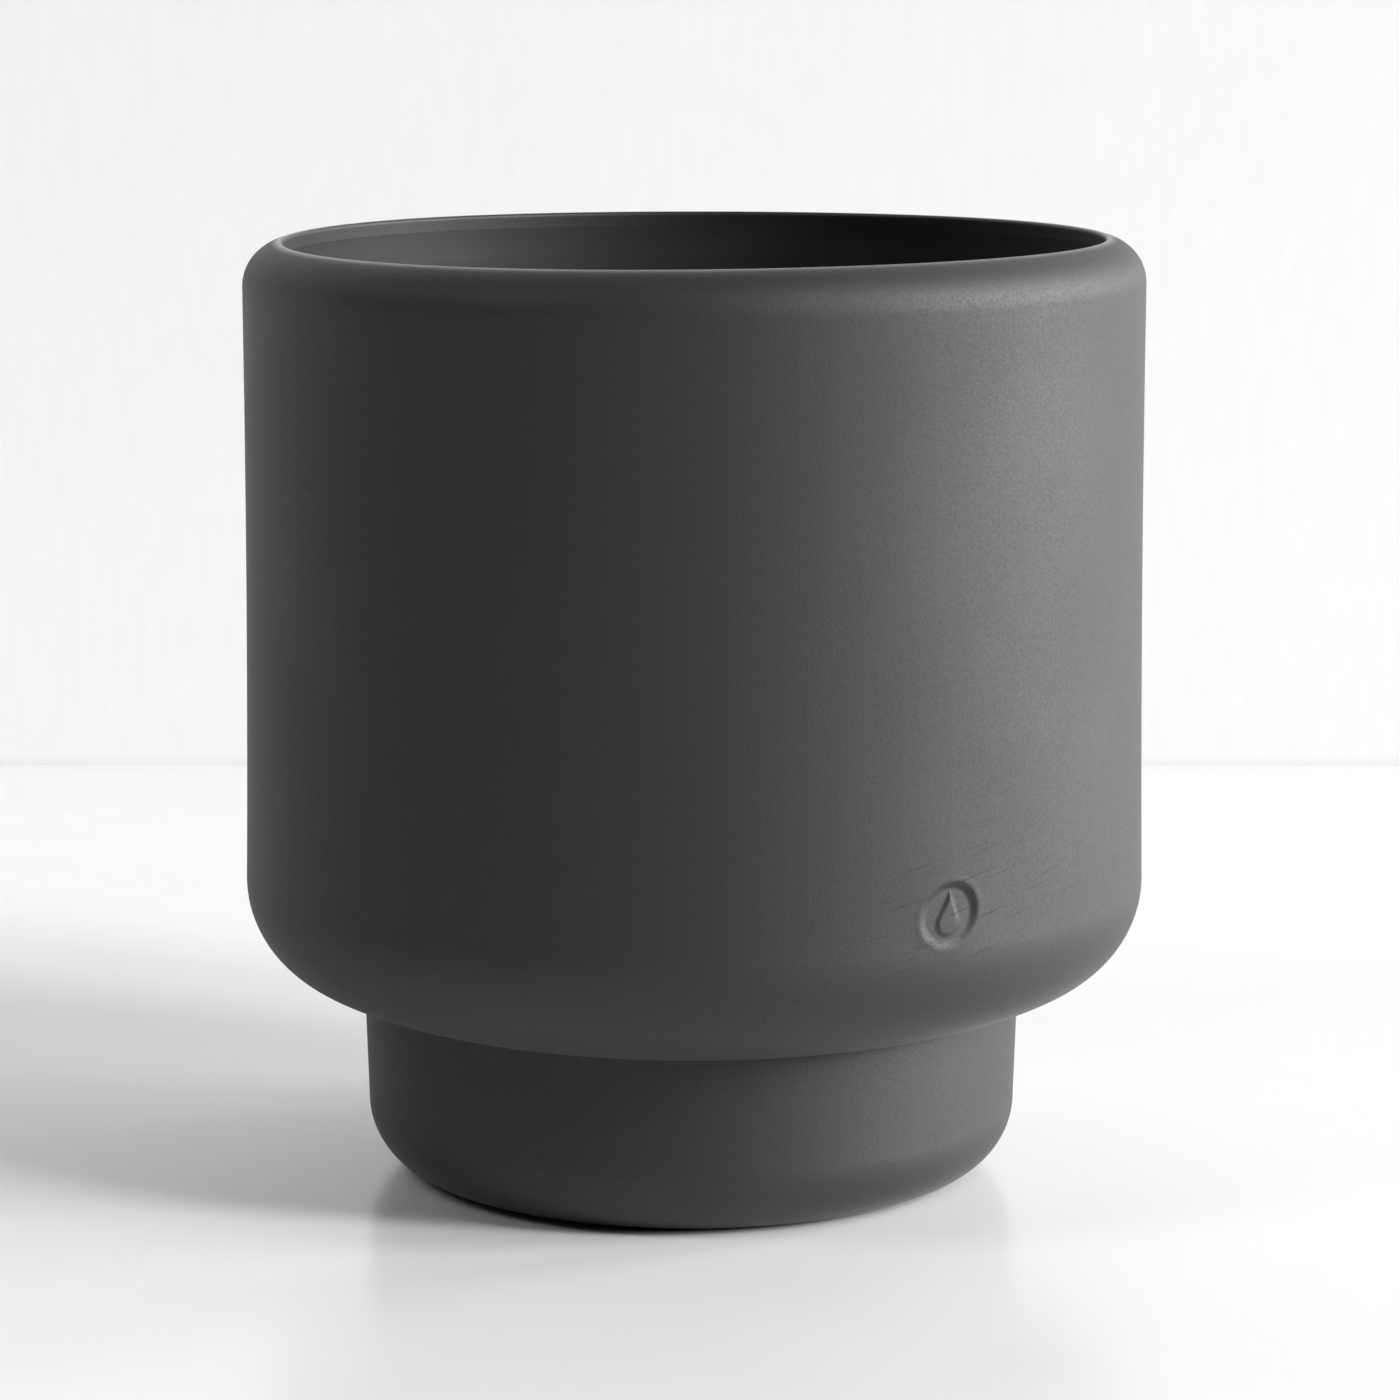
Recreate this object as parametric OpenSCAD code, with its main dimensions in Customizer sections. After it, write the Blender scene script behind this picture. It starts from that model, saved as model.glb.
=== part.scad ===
// Empty footed candle jar in matt dark stoneware. A wide round bowl is luted onto a narrower foot, with a
// soft shoulder, a thin lip, a small pressed stamp low on the wall and a coat of sealing glaze inside.
// Millimetres, +Z up. The origin is the centre of the circle that the jar stands on, and -Y is its front.

/* [Bowl] */
// Height of the lip above the table
jar_h = 105.4; // [98:0.2:125]
// Outer radius where the wall meets the shoulder
bowl_top_r = 50; // [48:0.5:54]
// Outer radius where the wall meets the lower corner
bowl_low_r = 50.5; // [49:0.5:54]
// How far the wall bows inward at half its height
wall_waist = 0.2; // [0:0.1:0.6]
// Radius of the shoulder
shoulder_r = 5; // [5:0.5:8]
// How far the shoulder turns inward before the lip, in degrees
shoulder_turn = 79; // [78:1:84]
// Radius of the lower corner
corner_r = 12; // [9:0.5:14]
// Radius of the flatter underside between the corner and the foot
under_r = 28; // [24:1:34]
// Slope at which the corner hands over to the underside, in degrees
under_slope = 27.5; // [24:0.5:32]

/* [Foot] */
// Height of the foot, up to the crease under the bowl
foot_h = 20.5; // [17:0.5:24]
// Outer radius of the foot at the crease
foot_top_r = 37; // [35:0.5:38]
// Outer radius of the foot above its rounded edge
foot_low_r = 36.6; // [35:0.1:37.5]
// Radius of the foot's rounded bottom edge
foot_edge_r = 8.2; // [6:0.1:10]
// Radius of the shallow recess under the foot
recess_r = 24; // [16:1:24]
// Depth of that recess
recess_depth = 1.2; // [0.6:0.1:1.8]

/* [Walls] */
// Thickness of the clay
wall_t = 4.2; // [3:0.1:4.3]
// Radius of the rounded edge of the lip
lip_r = 0.4; // [0.3:0.1:0.8]
// Radius of the gentle curve that brings the inside wall in to the lip
blend_r = 30; // [20:1:40]
// Radius of the inner edge where the bowl's floor drops into the foot
well_edge_r = 1.2; // [0.8:0.1:1.4]
// Thickness of the glaze coat
glaze_t = 0.35; // [0.2:0.05:0.5]
// Width of bare clay left between the lip and the glaze
bare_lip = 0.6; // [0.3:0.1:0.9]
// Height over which the glaze thins out towards the bare clay
glaze_fade = 1.5; // [0.5:0.5:3]

/* [Stamp] */
// Radius of the pressed round stamp
stamp_r = 3.45; // [3:0.05:4]
// Depth of the stamp
stamp_depth = 0.5; // [0.3:0.1:0.8]
// Height of the stamp's centre
stamp_z = 37.5; // [37:0.5:70]
// Turn of the stamp from the front towards the right, in degrees
stamp_turn = 32; // [0:1:90]
// Radius of the round end of the raised drop inside the stamp
drop_r = 1.35; // [0.9:0.05:1.5]
// Height of the drop's tip above its round end's centre
drop_h = 3.1; // [2.2:0.1:3.4]

/* [Hidden] */
$fn = 180;

CLAY_COLOUR = [0.21, 0.20, 0.20];
FOOT_COLOUR = [0.23, 0.22, 0.22];
GLAZE_COLOUR = [0.33, 0.31, 0.32];

// Points on a round stretch of outline, from angle a0 to a1
function arc(centre, r, a0, a1, steps) =
    [for (i = [0 : steps]) centre + r * [cos(a0 + (a1 - a0) * i / steps), sin(a0 + (a1 - a0) * i / steps)]];
function reversed(points) = [for (i = [len(points) - 1 : -1 : 0]) points[i]];

// Centres and angles of the arcs that the clay's two faces share
shoulder_z = jar_h - lip_r - (shoulder_r - lip_r) * sin(shoulder_turn);
shoulder_c = [bowl_top_r - shoulder_r, shoulder_z];
corner_to_under = (corner_r - under_r) * [cos(under_slope - 90), sin(under_slope - 90)];
under_x = bowl_low_r - corner_r + corner_to_under[0];
crease_a = -acos((foot_top_r - under_x) / under_r);
under_c = [under_x, foot_h - under_r * sin(crease_a)];
corner_c = under_c - corner_to_under;

// The wall between the corner and the shoulder: a straight taper that bows inward by the waist
function wall_r(t) = bowl_low_r * (1 - t) + bowl_top_r * t - 4 * wall_waist * t * (1 - t);
function wall_points(inset, z0, z1, steps) =
    [for (i = [1 : steps - 1]) [wall_r(i / steps) - inset, z0 + (z1 - z0) * i / steps]];

// The lip is a small round that touches the shoulder and the gentle curve at the top of the inside wall
lip_c = shoulder_c + (shoulder_r - lip_r) * [cos(shoulder_turn), sin(shoulder_turn)];
blend_a = acos((lip_c[0] + blend_r - bowl_top_r + wall_t) / (blend_r + lip_r));
blend_c = lip_c - (blend_r + lip_r) * [cos(blend_a), sin(blend_a)];

// The well in the foot: its wall, the round edge above it and the floor
well_top_r = foot_top_r - wall_t;
well_low_r = foot_low_r - wall_t;
floor_z = recess_depth + wall_t;
floor_edge_r = foot_edge_r - wall_t;
well_edge_a = -acos((well_top_r + well_edge_r - under_x) / (under_r - wall_t + well_edge_r));
well_edge_c = under_c + (under_r - wall_t + well_edge_r) * [cos(well_edge_a), sin(well_edge_a)];

// The bowl's outside, from the crease up to the lip
bowl_outside = concat(
    arc(under_c, under_r, crease_a, under_slope - 90, 6),
    arc(corner_c, corner_r, under_slope - 90, 0, 16),
    wall_points(0, corner_c[1], shoulder_c[1], 12),
    arc(shoulder_c, shoulder_r, 0, shoulder_turn, 14),
    arc(lip_c, lip_r, shoulder_turn + 15, blend_a + 165, 7)
);

// The inner faces lie `coat` inside the clay's own, so that 0 gives the clay and glaze_t the glaze
function bowl_inside(coat, top_a) = concat(
    arc(blend_c, blend_r - coat, top_a, 0, 8),
    reversed(wall_points(wall_t + coat, corner_c[1], blend_c[1], 12)),
    arc(corner_c, corner_r - wall_t - coat, 0, under_slope - 90, 12),
    arc(under_c, under_r - wall_t - coat, under_slope - 90, well_edge_a, 5),
    arc(well_edge_c, well_edge_r + coat, well_edge_a + 180, 180, 5)
);
function foot_inside(coat) = concat(
    arc([well_low_r - floor_edge_r, floor_z + floor_edge_r], floor_edge_r - coat, 0, -90, 10),
    [[0, floor_z + coat]]
);

// A drop with a round lower end and a pointed top
module drop() {
    tangent_a = asin(drop_r / drop_h);
    polygon(concat([[0, drop_h]], arc([0, 0], drop_r, 180 - tangent_a, 360 + tangent_a, 24)));
}

module stamp() {
    face_r = wall_r(0) - stamp_depth;
    rotate([0, 0, stamp_turn])
        translate([0, -face_r, stamp_z])
            rotate([90, 0, 0])
                linear_extrude(3 * stamp_depth)
                    difference() {
                        circle(r = stamp_r);
                        translate([0, -(drop_h - drop_r) / 2])
                            drop();
                    }
}

module bowl() {
    color(CLAY_COLOUR)
        difference() {
            rotate_extrude()
                polygon(concat(
                    bowl_outside,
                    bowl_inside(0, blend_a),
                    [[well_top_r, foot_h]]
                ));
            stamp();
        }
}

module foot() {
    color(FOOT_COLOUR)
        rotate_extrude()
            polygon(concat(
                [[0, recess_depth], [recess_r - recess_depth, recess_depth], [recess_r, 0]],
                arc([foot_low_r - foot_edge_r, foot_edge_r], foot_edge_r, -90, 0, 14),
                [[foot_top_r, foot_h], [well_top_r, foot_h]],
                foot_inside(0)
            ));
}

module glaze_lining() {
    edge_a = blend_a - bare_lip / blend_r * 180 / PI;
    full_a = edge_a - glaze_fade / blend_r * 180 / PI;
    clay_face = concat(bowl_inside(0, edge_a), [[well_top_r, foot_h]], foot_inside(0));
    glaze_face = concat(bowl_inside(glaze_t, full_a), foot_inside(glaze_t));
    color(GLAZE_COLOUR)
        rotate_extrude()
            polygon(concat(clay_face, reversed(glaze_face)));
}

bowl();
foot();
glaze_lining();
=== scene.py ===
"""Studio scene of an empty footed candle jar in matt dark stoneware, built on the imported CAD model.

Each CAD node is replaced by a finer lathe mesh of the same outline: the clay gets its pressed stamp with
soft edges and a slightly wandering lip, and every surface gets a procedural material. Metres, +Z up, and
-Y is the jar's front. Azimuths are measured from the front towards +X.
"""
import math

import bpy
import numpy as np
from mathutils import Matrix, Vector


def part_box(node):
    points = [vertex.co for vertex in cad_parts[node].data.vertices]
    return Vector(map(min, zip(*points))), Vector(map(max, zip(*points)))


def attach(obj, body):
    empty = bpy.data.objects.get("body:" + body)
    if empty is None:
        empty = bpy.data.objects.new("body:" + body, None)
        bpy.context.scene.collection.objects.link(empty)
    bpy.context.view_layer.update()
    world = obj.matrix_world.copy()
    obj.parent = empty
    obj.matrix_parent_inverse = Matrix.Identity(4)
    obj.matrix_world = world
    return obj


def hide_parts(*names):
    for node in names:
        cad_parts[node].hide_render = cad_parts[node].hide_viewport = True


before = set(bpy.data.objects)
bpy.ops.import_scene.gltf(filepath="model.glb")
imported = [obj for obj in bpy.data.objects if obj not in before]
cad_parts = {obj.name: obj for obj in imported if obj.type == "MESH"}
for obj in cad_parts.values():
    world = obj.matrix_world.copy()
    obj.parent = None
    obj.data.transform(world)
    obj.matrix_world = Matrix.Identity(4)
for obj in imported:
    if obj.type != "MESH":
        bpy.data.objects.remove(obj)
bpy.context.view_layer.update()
MM = 0.001

# ---- Sizes: those that the frame gives, then the design's own radii and thicknesses ----
JAR_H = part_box("bowl")[1].z
BOWL_LOW_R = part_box("bowl")[1].x
FOOT_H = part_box("foot")[1].z
FOOT_TOP_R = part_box("foot")[1].x
BOWL_TOP_R = BOWL_LOW_R - 0.5 * MM
FOOT_LOW_R = FOOT_TOP_R - 0.4 * MM
WALL_WAIST = 0.2 * MM
WALL_T = 4.2 * MM
LIP_R = 0.4 * MM
BLEND_R = 30 * MM
SHOULDER_R = 5 * MM
SHOULDER_TURN = math.radians(79)
CORNER_R = 12 * MM
UNDER_R = 28 * MM
UNDER_SLOPE = math.radians(27.5)
FOOT_EDGE_R = 8.2 * MM
RECESS_R = 24 * MM
RECESS_DEPTH = 1.2 * MM
WELL_EDGE_R = 1.2 * MM
GLAZE_T = 0.35 * MM
BARE_LIP = 0.6 * MM
GLAZE_FADE = 9 * MM
COAT_GRIP = 0.1 * MM

STAMP_R = 3.45 * MM
STAMP_DEPTH = 0.42 * MM
STAMP_Z = 37.5 * MM
STAMP_AZ = math.radians(32)
STAMP_SLANT = 0.12
DROP_R = 1.35 * MM
DROP_H = 3.1 * MM

STAMP_STRETCH = 1.04
STAMP_RIM = 0.03 * MM
DROP_SHARE = 0.75

# The foot was luted on a little off the bowl's axis
FOOT_SHIFT_X = -0.37 * MM
JOINT_OVERLAP = 1.0 * MM
JOINT_LUTE = 0.15 * MM

WANDER = 0.04 * MM

COARSE_STEP = math.radians(1.4)
FINE_STEP = math.radians(0.11)
FINE_SPAN = math.radians(6.5)


# ---- Outlines, as (radius, height) points ----
def direction(angle):
    return np.array([math.cos(angle), math.sin(angle)])


def smooth_step(edge0, edge1, x):
    t = np.clip((x - edge0) / (edge1 - edge0), 0, 1)
    return t * t * (3 - 2 * t)


def arc(centre, radius, start, end, steps):
    return [centre + radius * direction(a) for a in np.linspace(start, end, steps + 1)]


def shoulder_and_lip():
    """Centres of the shoulder's arc and of the lip's small round at the end of it."""
    reach = (SHOULDER_R - LIP_R) * direction(SHOULDER_TURN)
    lip = np.array([BOWL_TOP_R - SHOULDER_R + reach[0], JAR_H - LIP_R])
    return lip - reach, lip


def inner_blend():
    """Centre of the gentle arc that brings the inside wall in to the lip, and its angle there."""
    _, lip = shoulder_and_lip()
    angle = math.acos((lip[0] + BLEND_R - BOWL_TOP_R + WALL_T) / (BLEND_R + LIP_R))
    return lip - (BLEND_R + LIP_R) * direction(angle), angle


def underside_centres():
    """Centres of the lower corner's arc and of the flatter arc inside it."""
    handover = (CORNER_R - UNDER_R) * direction(UNDER_SLOPE - math.pi / 2)
    under_x = BOWL_LOW_R - CORNER_R + handover[0]
    crease = -math.acos((FOOT_TOP_R - under_x) / UNDER_R)
    under = np.array([under_x, FOOT_H - UNDER_R * math.sin(crease)])
    return under - handover, under


def wall_radius(t):
    return BOWL_LOW_R * (1 - t) + BOWL_TOP_R * t - 4 * WALL_WAIST * t * (1 - t)


def wall_heights(low, high):
    """Rows up the wall: fine ones across the stamp, coarse ones above it."""
    stamp_top = STAMP_Z + 1.35 * STAMP_R
    fine = np.arange(low, stamp_top, 0.1 * MM)
    return np.concatenate([fine[1:], np.linspace(stamp_top, high, 28)[:-1]])


def bowl_outside():
    """From the joint, a little inside the crease, up to the inner edge of the lip."""
    corner, under = underside_centres()
    shoulder, lip = shoulder_and_lip()
    _, blend_angle = inner_blend()
    joint = -math.acos((FOOT_TOP_R - JOINT_OVERLAP - under[0]) / UNDER_R)
    points = arc(under, UNDER_R, joint, UNDER_SLOPE - math.pi / 2, 36)
    points += arc(corner, CORNER_R, UNDER_SLOPE - math.pi / 2, 0, 64)[1:]
    for z in wall_heights(corner[1], shoulder[1]):
        t = (z - corner[1]) / (shoulder[1] - corner[1])
        points.append(np.array([wall_radius(t), z]))
    points += arc(shoulder, SHOULDER_R, 0, SHOULDER_TURN, 30)
    points += arc(lip, LIP_R, SHOULDER_TURN, math.pi + blend_angle, 14)[1:]
    return points


def bowl_inside(coat, bare):
    """The inner face from `bare` below the lip down to the well's edge, `coat` inside the clay's own face."""
    corner, under = underside_centres()
    blend, blend_angle = inner_blend()
    well_x = FOOT_TOP_R - WALL_T + WELL_EDGE_R
    edge_reach = UNDER_R - WALL_T + WELL_EDGE_R
    edge_angle = -math.acos((well_x - under[0]) / edge_reach)
    edge = under + edge_reach * direction(edge_angle)
    points = arc(blend, BLEND_R - coat, blend_angle - bare / BLEND_R, 0, 14)
    for t in np.linspace(1, 0, 24)[1:-1]:
        z = corner[1] + t * (blend[1] - corner[1])
        points.append(np.array([wall_radius(t) - WALL_T - coat, z]))
    points += arc(corner, CORNER_R - WALL_T - coat, 0, UNDER_SLOPE - math.pi / 2, 20)
    points += arc(under, UNDER_R - WALL_T - coat, UNDER_SLOPE - math.pi / 2, edge_angle, 8)[1:]
    points += arc(edge, WELL_EDGE_R + coat, edge_angle + math.pi, math.pi, 8)[1:]
    return points


def foot_inside(coat):
    """The well's inner face from the joint down to the middle of the floor."""
    edge_r = FOOT_EDGE_R - WALL_T
    floor_z = RECESS_DEPTH + WALL_T
    centre = np.array([FOOT_LOW_R - WALL_T - edge_r, floor_z + edge_r])
    points = arc(centre, edge_r - coat, 0, -math.pi / 2, 16)
    points += [np.array([x, floor_z + coat]) for x in np.linspace(centre[0], 0, 12)[1:]]
    return points


def foot_outside():
    """The foot's outside from the middle of its recess round to the joint under the bowl."""
    points = [np.array([x, RECESS_DEPTH]) for x in np.linspace(0, RECESS_R - 1.5 * MM, 10)]
    points += arc(np.array([RECESS_R - 1.5 * MM, 0]), RECESS_DEPTH, math.pi / 2, 0, 6)[1:]
    points += [np.array([RECESS_R, 0])]
    points += arc(np.array([FOOT_LOW_R - FOOT_EDGE_R, FOOT_EDGE_R]), FOOT_EDGE_R, -math.pi / 2, 0, 32)
    for t in np.linspace(0, 1, 12)[1:]:
        z = FOOT_EDGE_R + t * (FOOT_H - FOOT_EDGE_R)
        points.append(np.array([FOOT_LOW_R + t * (FOOT_TOP_R - FOOT_LOW_R), z]))
    points.append(np.array([FOOT_TOP_R, FOOT_H + JOINT_LUTE]))
    return points


def coat_outline():
    """The glaze: its back sunk a little into the clay, and its face, which comes out of the clay just under
    the lip and rises softly to full thickness."""
    clay = bowl_inside(0, BARE_LIP)
    edge_z = clay[0][1]
    face = []
    for under, glaze in zip(clay, bowl_inside(GLAZE_T, BARE_LIP)):
        share = smooth_step(0, GLAZE_FADE, edge_z - under[1])
        face.append(under + (share - 0.015 * (1 - share)) * (glaze - under))
    joint = [np.array([FOOT_TOP_R - WALL_T + COAT_GRIP, FOOT_H])]
    back = bowl_inside(-COAT_GRIP, BARE_LIP) + joint + foot_inside(-COAT_GRIP)
    return back + (face + foot_inside(GLAZE_T))[::-1]


# ---- Lathe ----
def azimuths():
    """Columns round the jar from back to back, close together where the stamp is."""
    first, last = STAMP_AZ - FINE_SPAN, STAMP_AZ + FINE_SPAN
    fine = np.linspace(first, last, round(2 * FINE_SPAN / FINE_STEP) + 1)
    left = np.linspace(-math.pi, first, round((first + math.pi) / COARSE_STEP) + 1)
    right = np.linspace(last, math.pi, round((math.pi - last) / COARSE_STEP) + 1)
    return np.concatenate([left[:-1], fine, right[1:-1]])


def lathe(name, outline, shape, material, closed=True):
    """Turns an outline into a mesh. `shape` moves each point (radius, azimuth, height) to where it is felt
    to be on the real, hand-finished piece. Points on the axis become one vertex. The UV map holds the
    distance round the bowl and the height, in metres."""
    turns = azimuths()
    count = len(turns)
    rows = []
    vertices = []
    for radius, height in outline:
        if radius < 1e-7:
            rows.append([len(vertices)] * count)
            vertices.append((0.0, 0.0, height))
            continue
        r, z = shape(np.full(count, radius), turns, np.full(count, height))
        rows.append(list(range(len(vertices), len(vertices) + count)))
        vertices += list(zip(r * np.sin(turns), -r * np.cos(turns), z))
    ends = np.append(turns, math.pi) * BOWL_LOW_R
    faces = []
    uvs = []
    for i in range(len(rows) if closed else len(rows) - 1):
        j = (i + 1) % len(rows)
        low, high = rows[i], rows[j]
        low_z, high_z = outline[i][1], outline[j][1]
        for k in range(count):
            n = (k + 1) % count
            corners = [low[k], low[n], high[n], high[k]]
            places = [(ends[k], low_z), (ends[k + 1], low_z), (ends[k + 1], high_z), (ends[k], high_z)]
            kept = [c for c in range(4) if corners[c] != corners[c - 1]]
            if len(kept) > 2:
                faces.append([corners[c] for c in kept])
                uvs += [places[c] for c in kept]
    mesh = bpy.data.meshes.new(name)
    mesh.from_pydata(vertices, [], faces)
    mesh.polygons.foreach_set("use_smooth", [True] * len(mesh.polygons))
    mesh.uv_layers.new(name="round_and_up").data.foreach_set("uv", np.array(uvs).ravel())
    mesh.materials.append(material)
    mesh.update()
    piece = bpy.data.objects.new(name, mesh)
    bpy.context.scene.collection.objects.link(piece)
    return piece


# ---- Hand-finished shape ----
def lip_sway(turn):
    """How far the lip stands below the design's height, round the jar: a slight tilt and two slow waves."""
    sway = 0.217 * np.cos(turn - math.radians(111))
    sway = sway + 0.116 * np.cos(2 * turn - math.radians(111))
    sway = sway + 0.061 * np.cos(3 * turn - math.radians(9))
    return (sway - 0.315) * MM


def wander(turn, z):
    """Slow unevenness of the wall, never outward of the design."""
    waves = 0.5 * np.cos(2 * turn + 0.8 + 12 * z) + 0.3 * np.cos(3 * turn - 1.1 - 20 * z)
    waves = waves + 0.2 * np.cos(5 * turn + 2.3 + 35 * z)
    return (waves - 1) * WANDER


def bowl_shape(radius, turn, z):
    lifted = smooth_step(0.6 * JAR_H, JAR_H, z)
    return radius + wander(turn, z), z + lifted * lip_sway(turn)


def drop_inside(u, v):
    """How far inside the raised drop a point of the stamp is, negative outside it."""
    v = v + (DROP_H - DROP_R) / 2
    tangent = math.asin(DROP_R / DROP_H)
    round_end = DROP_R - np.hypot(u, v)
    sides = (DROP_H - v) * math.sin(tangent) - np.abs(u) * math.cos(tangent)
    on_sides = v > DROP_R * math.sin(tangent)
    return np.where(on_sides, sides, round_end)


def stamp_relief(turn, z):
    """Depth of the pressed stamp: a round recess, deeper to its upper right, with a soft raised drop."""
    v = (z - STAMP_Z) * STAMP_STRETCH
    u = (turn - STAMP_AZ) * BOWL_LOW_R - STAMP_SLANT * v
    rho = np.hypot(u, v)
    lean = 0.85 + 0.4 * (0.34 * u + 0.94 * v) / STAMP_R
    recess = 1 - smooth_step(STAMP_R - 0.7 * MM, STAMP_R + 0.35 * MM, rho)
    drop = smooth_step(-0.35 * MM, 0.35 * MM, drop_inside(u, v))
    rim = np.exp(-(((rho - STAMP_R - 0.4 * MM) / (0.45 * MM)) ** 2))
    return -STAMP_DEPTH * lean * recess * (1 - DROP_SHARE * drop) + STAMP_RIM * rim


def clay_shape(radius, turn, z):
    """The bowl's clay: the stamp only marks the outside face."""
    r, moved = bowl_shape(radius, turn, z)
    outside = radius > wall_radius(0.5) - WALL_T / 2
    return r + np.where(outside, stamp_relief(turn, z), 0), moved


def foot_shape(radius, turn, z):
    """The foot's outside stands a little to the left; the well inside it stays on the bowl's axis."""
    inside = (radius <= FOOT_TOP_R - WALL_T) & (z >= RECESS_DEPTH + WALL_T)
    shift = FOOT_SHIFT_X * np.sin(turn) * smooth_step(0, 0.5 * RECESS_R, radius)
    return radius + np.where(inside, 0, shift), z


# ---- Materials: the clay shows mostly by its soft gloss, so its own colours are very dark ----
CLAY_LIGHT = (0.0047, 0.0043, 0.0044)
CLAY_DARK = (0.0038, 0.0035, 0.0036)
CLAY_ROUGH = 0.65
CLAY_GLOSS = 0.77
WARM_GLOSS = (1.0, 0.945, 0.95, 1)
LIP_POLISH = 0.36
GLAZE_LIGHT = (0.0225, 0.0216, 0.0218)
GLAZE_DARK = (0.0175, 0.0168, 0.017)
GLAZE_CLOUD = (0.0185, 0.0177, 0.018)
GLAZE_GLOSS = 0.3


def new_material(name):
    material = bpy.data.materials.new(name)
    material.use_nodes = True
    tree = material.node_tree
    tree.nodes.clear()
    output = tree.nodes.new("ShaderNodeOutputMaterial")
    shader = tree.nodes.new("ShaderNodeBsdfPrincipled")
    tree.links.new(shader.outputs["BSDF"], output.inputs["Surface"])
    return material, tree, shader


def noise(tree, vector, scale, detail=4.0, roughness=0.5):
    node = tree.nodes.new("ShaderNodeTexNoise")
    node.inputs["Scale"].default_value = scale
    node.inputs["Detail"].default_value = detail
    node.inputs["Roughness"].default_value = roughness
    tree.links.new(vector, node.inputs["Vector"])
    return node.outputs["Fac"]


def stretched(tree, vector, scale, rotation=(0, 0, 0)):
    node = tree.nodes.new("ShaderNodeMapping")
    node.inputs["Scale"].default_value = scale
    node.inputs["Rotation"].default_value = rotation
    tree.links.new(vector, node.inputs["Vector"])
    return node.outputs["Vector"]


def remap(tree, value, low, high, out_low, out_high):
    node = tree.nodes.new("ShaderNodeMapRange")
    node.inputs["From Min"].default_value = low
    node.inputs["From Max"].default_value = high
    node.inputs["To Min"].default_value = out_low
    node.inputs["To Max"].default_value = out_high
    tree.links.new(value, node.inputs["Value"])
    return node.outputs["Result"]


def combine(tree, operation, a, b):
    node = tree.nodes.new("ShaderNodeMath")
    node.operation = operation
    for socket, value in zip(node.inputs, (a, b)):
        if isinstance(value, (int, float)):
            socket.default_value = value
        else:
            tree.links.new(value, socket)
    return node.outputs["Value"]


def mix_colour(tree, factor, a, b):
    node = tree.nodes.new("ShaderNodeMix")
    node.data_type = "RGBA"
    tree.links.new(factor, node.inputs["Factor"])
    for socket, value in ((node.inputs["A"], a), (node.inputs["B"], b)):
        if isinstance(value, tuple):
            socket.default_value = (*value, 1)
        else:
            tree.links.new(value, socket)
    return node.outputs["Result"]


def tinted(colour, factor):
    return tuple(factor * channel for channel in colour)


def bump(tree, height, distance, strength=1.0, normal=None):
    node = tree.nodes.new("ShaderNodeBump")
    node.inputs["Strength"].default_value = strength
    node.inputs["Distance"].default_value = distance
    tree.links.new(height, node.inputs["Height"])
    if normal:
        tree.links.new(normal, node.inputs["Normal"])
    return node.outputs["Normal"]


def position(tree):
    return tree.nodes.new("ShaderNodeTexCoord").outputs["Object"]


def smoothing_marks(tree):
    """Fine scratches from smoothing the clay round the stamp, rising to the right and fading outwards."""
    wrap = tree.nodes.new("ShaderNodeUVMap").outputs["UV"]
    centre = tree.nodes.new("ShaderNodeMapping")
    centre.inputs["Location"].default_value = (-STAMP_AZ * BOWL_LOW_R, -STAMP_Z, 0)
    tree.links.new(wrap, centre.inputs["Vector"])
    turned = stretched(tree, centre.outputs["Vector"], (1, 1, 1), (0, 0, -math.radians(12)))
    lines = noise(tree, stretched(tree, turned, (90, 2600, 1)), 1.0, 2)
    away = tree.nodes.new("ShaderNodeVectorMath")
    away.operation = "LENGTH"
    tree.links.new(stretched(tree, turned, (1, 2.2, 1)), away.inputs[0])
    near = remap(tree, away.outputs["Value"], 5 * MM, 24 * MM, 1, 0)
    return combine(tree, "MULTIPLY", remap(tree, lines, 0.58, 0.72, 0, 1), near)


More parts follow.
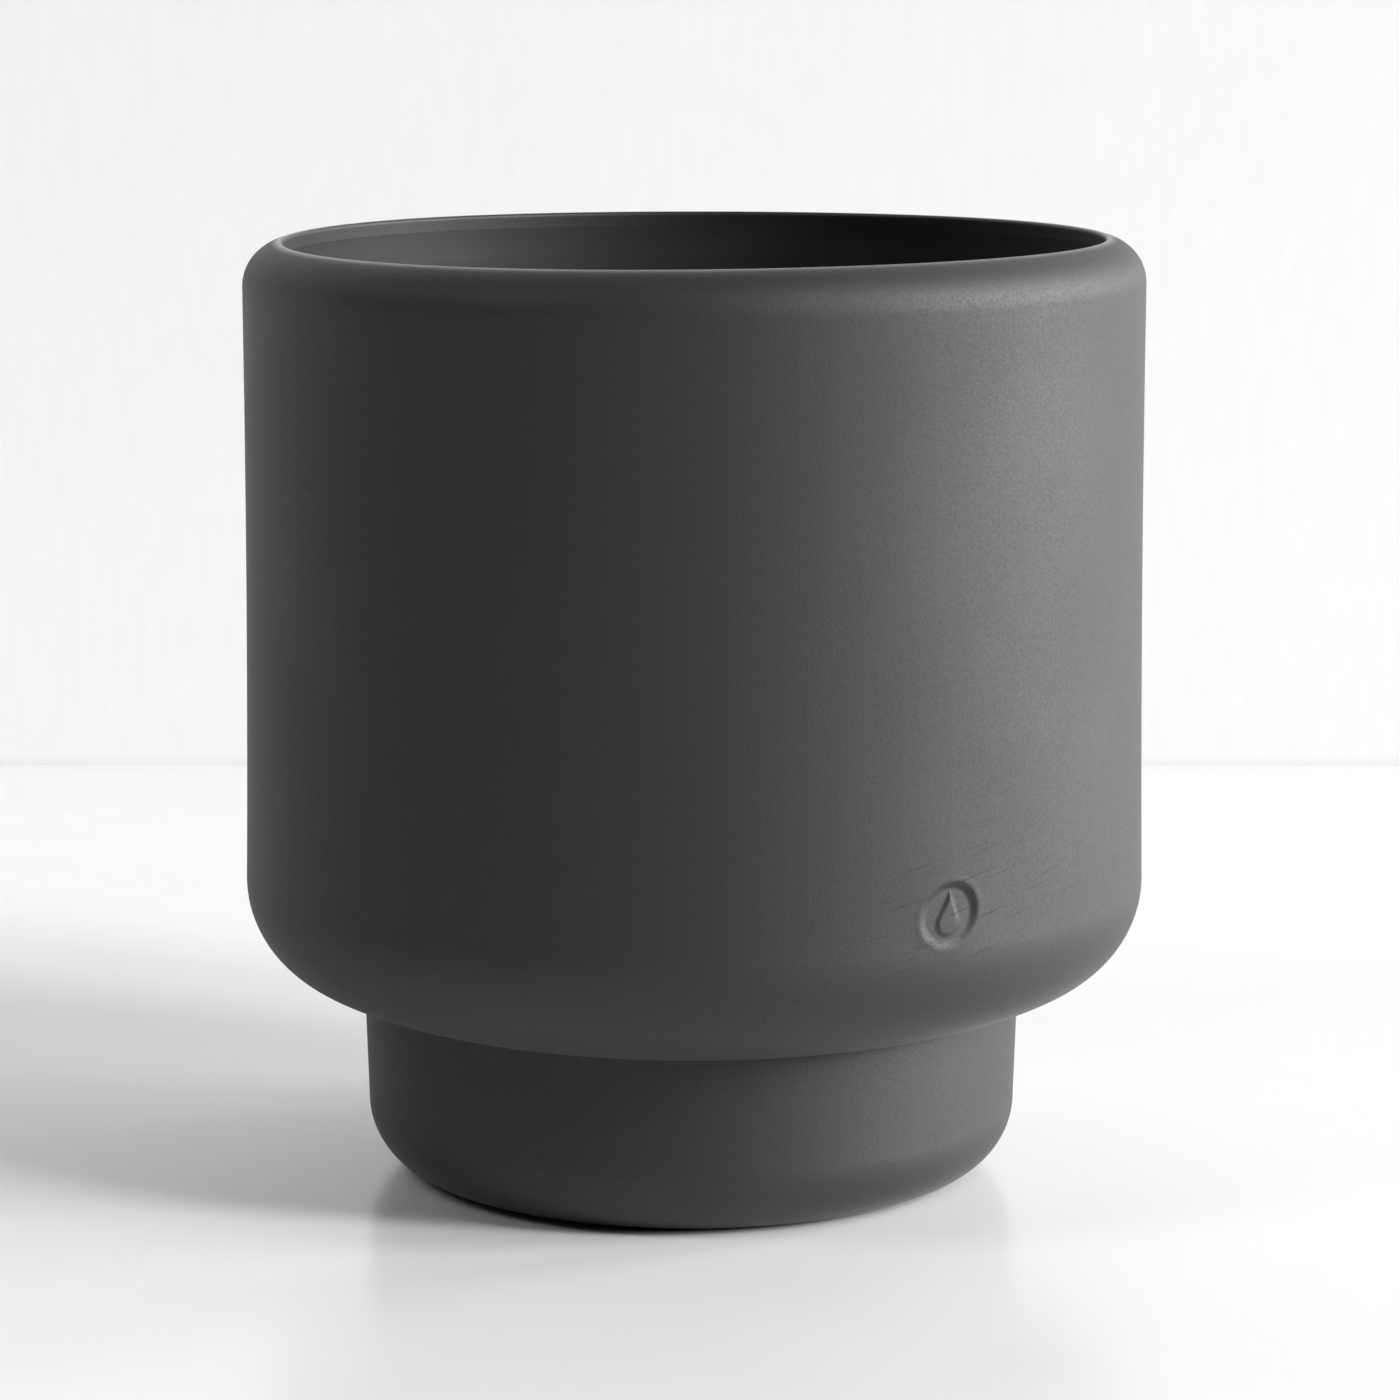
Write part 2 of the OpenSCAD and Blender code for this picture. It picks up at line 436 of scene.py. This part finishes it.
def stoneware():
    """Unglazed dark clay: fine even grain, faint cloudy mottling, a few pale and dark specks, soft rings
    from smoothing, and a lip that handling has polished."""
    material, tree, shader = new_material("stoneware")
    place = position(tree)
    cloud = noise(tree, place, 45, 3)
    grain = noise(tree, place, 3200, 3, 0.6)
    marks = smoothing_marks(tree)
    base = mix_colour(tree, remap(tree, cloud, 0.3, 0.7, 0, 1), CLAY_DARK, CLAY_LIGHT)
    base = mix_colour(tree, remap(tree, grain, 0.35, 0.65, 0, 0.25), base, tinted(CLAY_LIGHT, 1.6))
    base = mix_colour(tree, combine(tree, "MULTIPLY", marks, 0.35), base, tinted(CLAY_DARK, 0.5))
    speck = noise(tree, place, 900, 1)
    base = mix_colour(tree, remap(tree, speck, 0.79, 0.83, 0, 0.5), base, tinted(CLAY_LIGHT, 4))
    base = mix_colour(tree, remap(tree, speck, 0.20, 0.16, 0, 0.6), base, tinted(CLAY_DARK, 0.4))
    tree.links.new(base, shader.inputs["Base Color"])
    height = tree.nodes.new("ShaderNodeSeparateXYZ")
    tree.links.new(tree.nodes.new("ShaderNodeUVMap").outputs["UV"], height.inputs["Vector"])
    polish = remap(tree, height.outputs["Y"], JAR_H - 0.3 * MM, JAR_H - 0.03 * MM, 0, 1)
    rough = remap(tree, cloud, 0.3, 0.7, CLAY_ROUGH - 0.03, CLAY_ROUGH + 0.03)
    rough = combine(tree, "ADD", rough, remap(tree, grain, 0.35, 0.65, -0.05, 0.05))
    rough = combine(tree, "ADD", rough, combine(tree, "MULTIPLY", marks, 0.15))
    rough = combine(tree, "SUBTRACT", rough, combine(tree, "MULTIPLY", polish, LIP_POLISH))
    tree.links.new(rough, shader.inputs["Roughness"])
    shader.inputs["Specular IOR Level"].default_value = CLAY_GLOSS
    shader.inputs["Specular Tint"].default_value = WARM_GLOSS
    shader.inputs["Sheen Weight"].default_value = 0.085
    shader.inputs["Sheen Roughness"].default_value = 0.35
    rings = noise(tree, stretched(tree, place, (30, 30, 1300)), 1.0, 3)
    rings = combine(tree, "MULTIPLY", rings, combine(tree, "SUBTRACT", 1.0, polish))
    normal = bump(tree, rings, 0.005 * MM, 0.5)
    normal = bump(tree, combine(tree, "MULTIPLY", marks, -1.0), 0.022 * MM, 0.7, normal)
    normal = bump(tree, grain, 0.03 * MM, 0.8, normal)
    tree.links.new(normal, shader.inputs["Normal"])
    return material


def liner_glaze():
    """Satin glaze over the same clay, with the fine rings of its sponged surface showing through."""
    material, tree, shader = new_material("liner_glaze")
    place = position(tree)
    cloud = noise(tree, place, 60, 3)
    rings = noise(tree, stretched(tree, place, (12, 12, 900)), 1.0, 4)
    base = mix_colour(tree, remap(tree, rings, 0.3, 0.7, 0, 1), GLAZE_DARK, GLAZE_LIGHT)
    base = mix_colour(tree, remap(tree, cloud, 0.3, 0.7, 0, 0.4), base, GLAZE_CLOUD)
    tree.links.new(base, shader.inputs["Base Color"])
    tree.links.new(remap(tree, cloud, 0.3, 0.7, 0.6, 0.66), shader.inputs["Roughness"])
    shader.inputs["Specular IOR Level"].default_value = GLAZE_GLOSS
    shader.inputs["Specular Tint"].default_value = WARM_GLOSS
    tree.links.new(bump(tree, rings, 0.05 * MM, 0.6), shader.inputs["Normal"])
    return material


# ---- Stage, light and camera ----
WALL_Y = 253 * MM
WALL_TOP = 0.8
STAGE_W = 1.6
WALL_END_X = 0.45
STAGE_FRONT = -2.5
FLOOR_DARK = (0.82, 0.82, 0.82)
FLOOR_LIGHT = (0.835, 0.835, 0.835)
WALL_DARK = (0.885, 0.885, 0.885)
WALL_LIGHT = (0.905, 0.905, 0.905)
# Colour of the painted shade in the corner where the wall meets the table
WALL_CORNER_SHADE = (0.82, 0.82, 0.82)
SEEN_ROOM = (0.93, 0.93, 0.93, 1)
AIM = (0, 0, 0.06)

# The camera stands in front of the jar and looks down on it a little
CAMERA_AT = (0.63 * MM, -534.2 * MM, 142.1 * MM)
CAMERA_DOWN = math.radians(9.454)
CAMERA_LENS = 123.7
CAMERA_SENSOR = 36


def one_sided(tree, shader):
    """Lets a view from behind or below pass through, so that the stage hides nothing."""
    output = next(n for n in tree.nodes if n.type == "OUTPUT_MATERIAL")
    geometry = tree.nodes.new("ShaderNodeNewGeometry")
    clear = tree.nodes.new("ShaderNodeBsdfTransparent")
    mix = tree.nodes.new("ShaderNodeMixShader")
    tree.links.new(geometry.outputs["Backfacing"], mix.inputs["Fac"])
    tree.links.new(shader.outputs["BSDF"], mix.inputs[1])
    tree.links.new(clear.outputs["BSDF"], mix.inputs[2])
    tree.links.new(mix.outputs["Shader"], output.inputs["Surface"])


def floor_material():
    """Pale satin table top, which mirrors softly at a low angle."""
    material, tree, shader = new_material("pale_floor")
    place = position(tree)
    base = mix_colour(tree, noise(tree, place, 25, 3), FLOOR_DARK, FLOOR_LIGHT)
    tree.links.new(base, shader.inputs["Base Color"])
    tree.links.new(remap(tree, noise(tree, place, 60, 3), 0.3, 0.7, 0.2, 0.25), shader.inputs["Roughness"])
    shader.inputs["Specular IOR Level"].default_value = 0.36
    one_sided(tree, shader)
    return material


def wall_material():
    """Pale painted wall with a faint brushed texture, and painted shade that darkens it a little where it
    meets the table.
    """
    material, tree, shader = new_material("pale_wall")
    place = position(tree)
    brushed = noise(tree, stretched(tree, place, (450, 450, 120)), 1.0, 3)
    base = mix_colour(tree, remap(tree, brushed, 0.3, 0.7, 0, 1), WALL_DARK, WALL_LIGHT)
    height = tree.nodes.new("ShaderNodeSeparateXYZ")
    tree.links.new(place, height.inputs["Vector"])
    # Painted shade: the wall's colour darkens over its lowest 2.2 mm, in place of shade in the corner with
    # the table
    corner_shade = remap(tree, height.outputs["Z"], 0, 2.2 * MM, 1, 0)
    base = mix_colour(tree, combine(tree, "POWER", corner_shade, 1.5), base, WALL_CORNER_SHADE)
    tree.links.new(base, shader.inputs["Base Color"])
    shader.inputs["Roughness"].default_value = 0.7
    shader.inputs["Specular IOR Level"].default_value = 0.3
    one_sided(tree, shader)
    return material


def backdrop():
    """Pale table top and the pale wall behind it, which ends on the right and lets a window light the jar."""
    back_left = (-STAGE_W, WALL_Y, 0)
    table = [(-STAGE_W, STAGE_FRONT, 0), (STAGE_W, STAGE_FRONT, 0), (STAGE_W, WALL_Y, 0), back_left]
    wall = [back_left, (WALL_END_X, WALL_Y, 0), (WALL_END_X, WALL_Y, WALL_TOP), (-STAGE_W, WALL_Y, WALL_TOP)]
    mesh = bpy.data.meshes.new("backdrop")
    mesh.from_pydata(table + wall, [], [(0, 1, 2, 3), (4, 5, 6, 7)])
    mesh.materials.append(floor_material())
    mesh.materials.append(wall_material())
    mesh.polygons[1].material_index = 1
    stage = bpy.data.objects.new("backdrop", mesh)
    bpy.context.scene.collection.objects.link(stage)


def softbox(name, centre, target, width, height, power):
    """An evenly lit rectangle that faces its target."""
    lamp = bpy.data.lights.new(name, "AREA")
    lamp.shape = "RECTANGLE"
    lamp.size = width
    lamp.size_y = height
    lamp.energy = power
    holder = bpy.data.objects.new(name, lamp)
    bpy.context.scene.collection.objects.link(holder)
    away = np.array(centre) - np.array(target)
    yaw = math.atan2(away[0], -away[1])
    tilt = math.atan2(math.hypot(away[0], away[1]), away[2])
    holder.location = centre
    holder.rotation_euler = (tilt, 0, yaw)


def world_light():
    """A room that gives no light of its own and that the camera sees in the wall's pale colour."""
    world = bpy.data.worlds.new("studio")
    bpy.context.scene.world = world
    world.use_nodes = True
    tree = world.node_tree
    tree.nodes.clear()
    output = tree.nodes.new("ShaderNodeOutputWorld")
    dark = tree.nodes.new("ShaderNodeBackground")
    dark.inputs["Strength"].default_value = 0
    seen = tree.nodes.new("ShaderNodeBackground")
    seen.inputs["Color"].default_value = SEEN_ROOM
    path = tree.nodes.new("ShaderNodeLightPath")
    mix = tree.nodes.new("ShaderNodeMixShader")
    tree.links.new(path.outputs["Is Camera Ray"], mix.inputs["Fac"])
    tree.links.new(dark.outputs["Background"], mix.inputs[1])
    tree.links.new(seen.outputs["Background"], mix.inputs[2])
    tree.links.new(mix.outputs["Shader"], output.inputs["Surface"])


def camera():
    lens = bpy.data.cameras.new("camera")
    lens.sensor_width = CAMERA_SENSOR
    lens.lens = CAMERA_LENS
    lens.clip_start = 0.01
    lens.clip_end = 20
    eye = bpy.data.objects.new("camera", lens)
    bpy.context.scene.collection.objects.link(eye)
    eye.location = CAMERA_AT
    eye.rotation_euler = (math.pi / 2 - CAMERA_DOWN, 0, 0)
    bpy.context.scene.camera = eye


# ---- Build ----
clay = stoneware()
well_top = [np.array([FOOT_TOP_R - WALL_T, FOOT_H])]
bowl_outline = bowl_outside() + bowl_inside(0, 0)[1:] + well_top
bowl = lathe("bowl_clay", bowl_outline, clay_shape, clay)
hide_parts("bowl")
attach(bowl, "root")

foot_outline = foot_outside() + well_top + foot_inside(0)
foot = lathe("foot_clay", foot_outline, foot_shape, clay, closed=False)
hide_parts("foot")
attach(foot, "root")

coat = lathe("glaze_coat", coat_outline(), bowl_shape, liner_glaze())
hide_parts("glaze_lining")
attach(coat, "root")

backdrop()
world_light()
softbox("window_back", (3.0, 1.4, 0.84), AIM, 0.8, 1.0, 66)
softbox("window_rear", (5.2, 0.2, 0.94), AIM, 1.2, 1.5, 236)
softbox("window_mid", (5.2, -2.0, 1.9), AIM, 1.2, 1.4, 292)
softbox("window_front", (5.2, -3.8, 4.6), AIM, 1.2, 1.0, 200)
softbox("top_left", (-0.85, -0.5, 0.96), (-0.85, -0.5, 0), 0.7, 0.3, 4.4)
softbox("top_right", (0.85, -0.5, 0.96), (0.85, -0.5, 0), 0.9, 0.3, 4.3)
camera()
bpy.context.scene.view_settings.view_transform = "Standard"
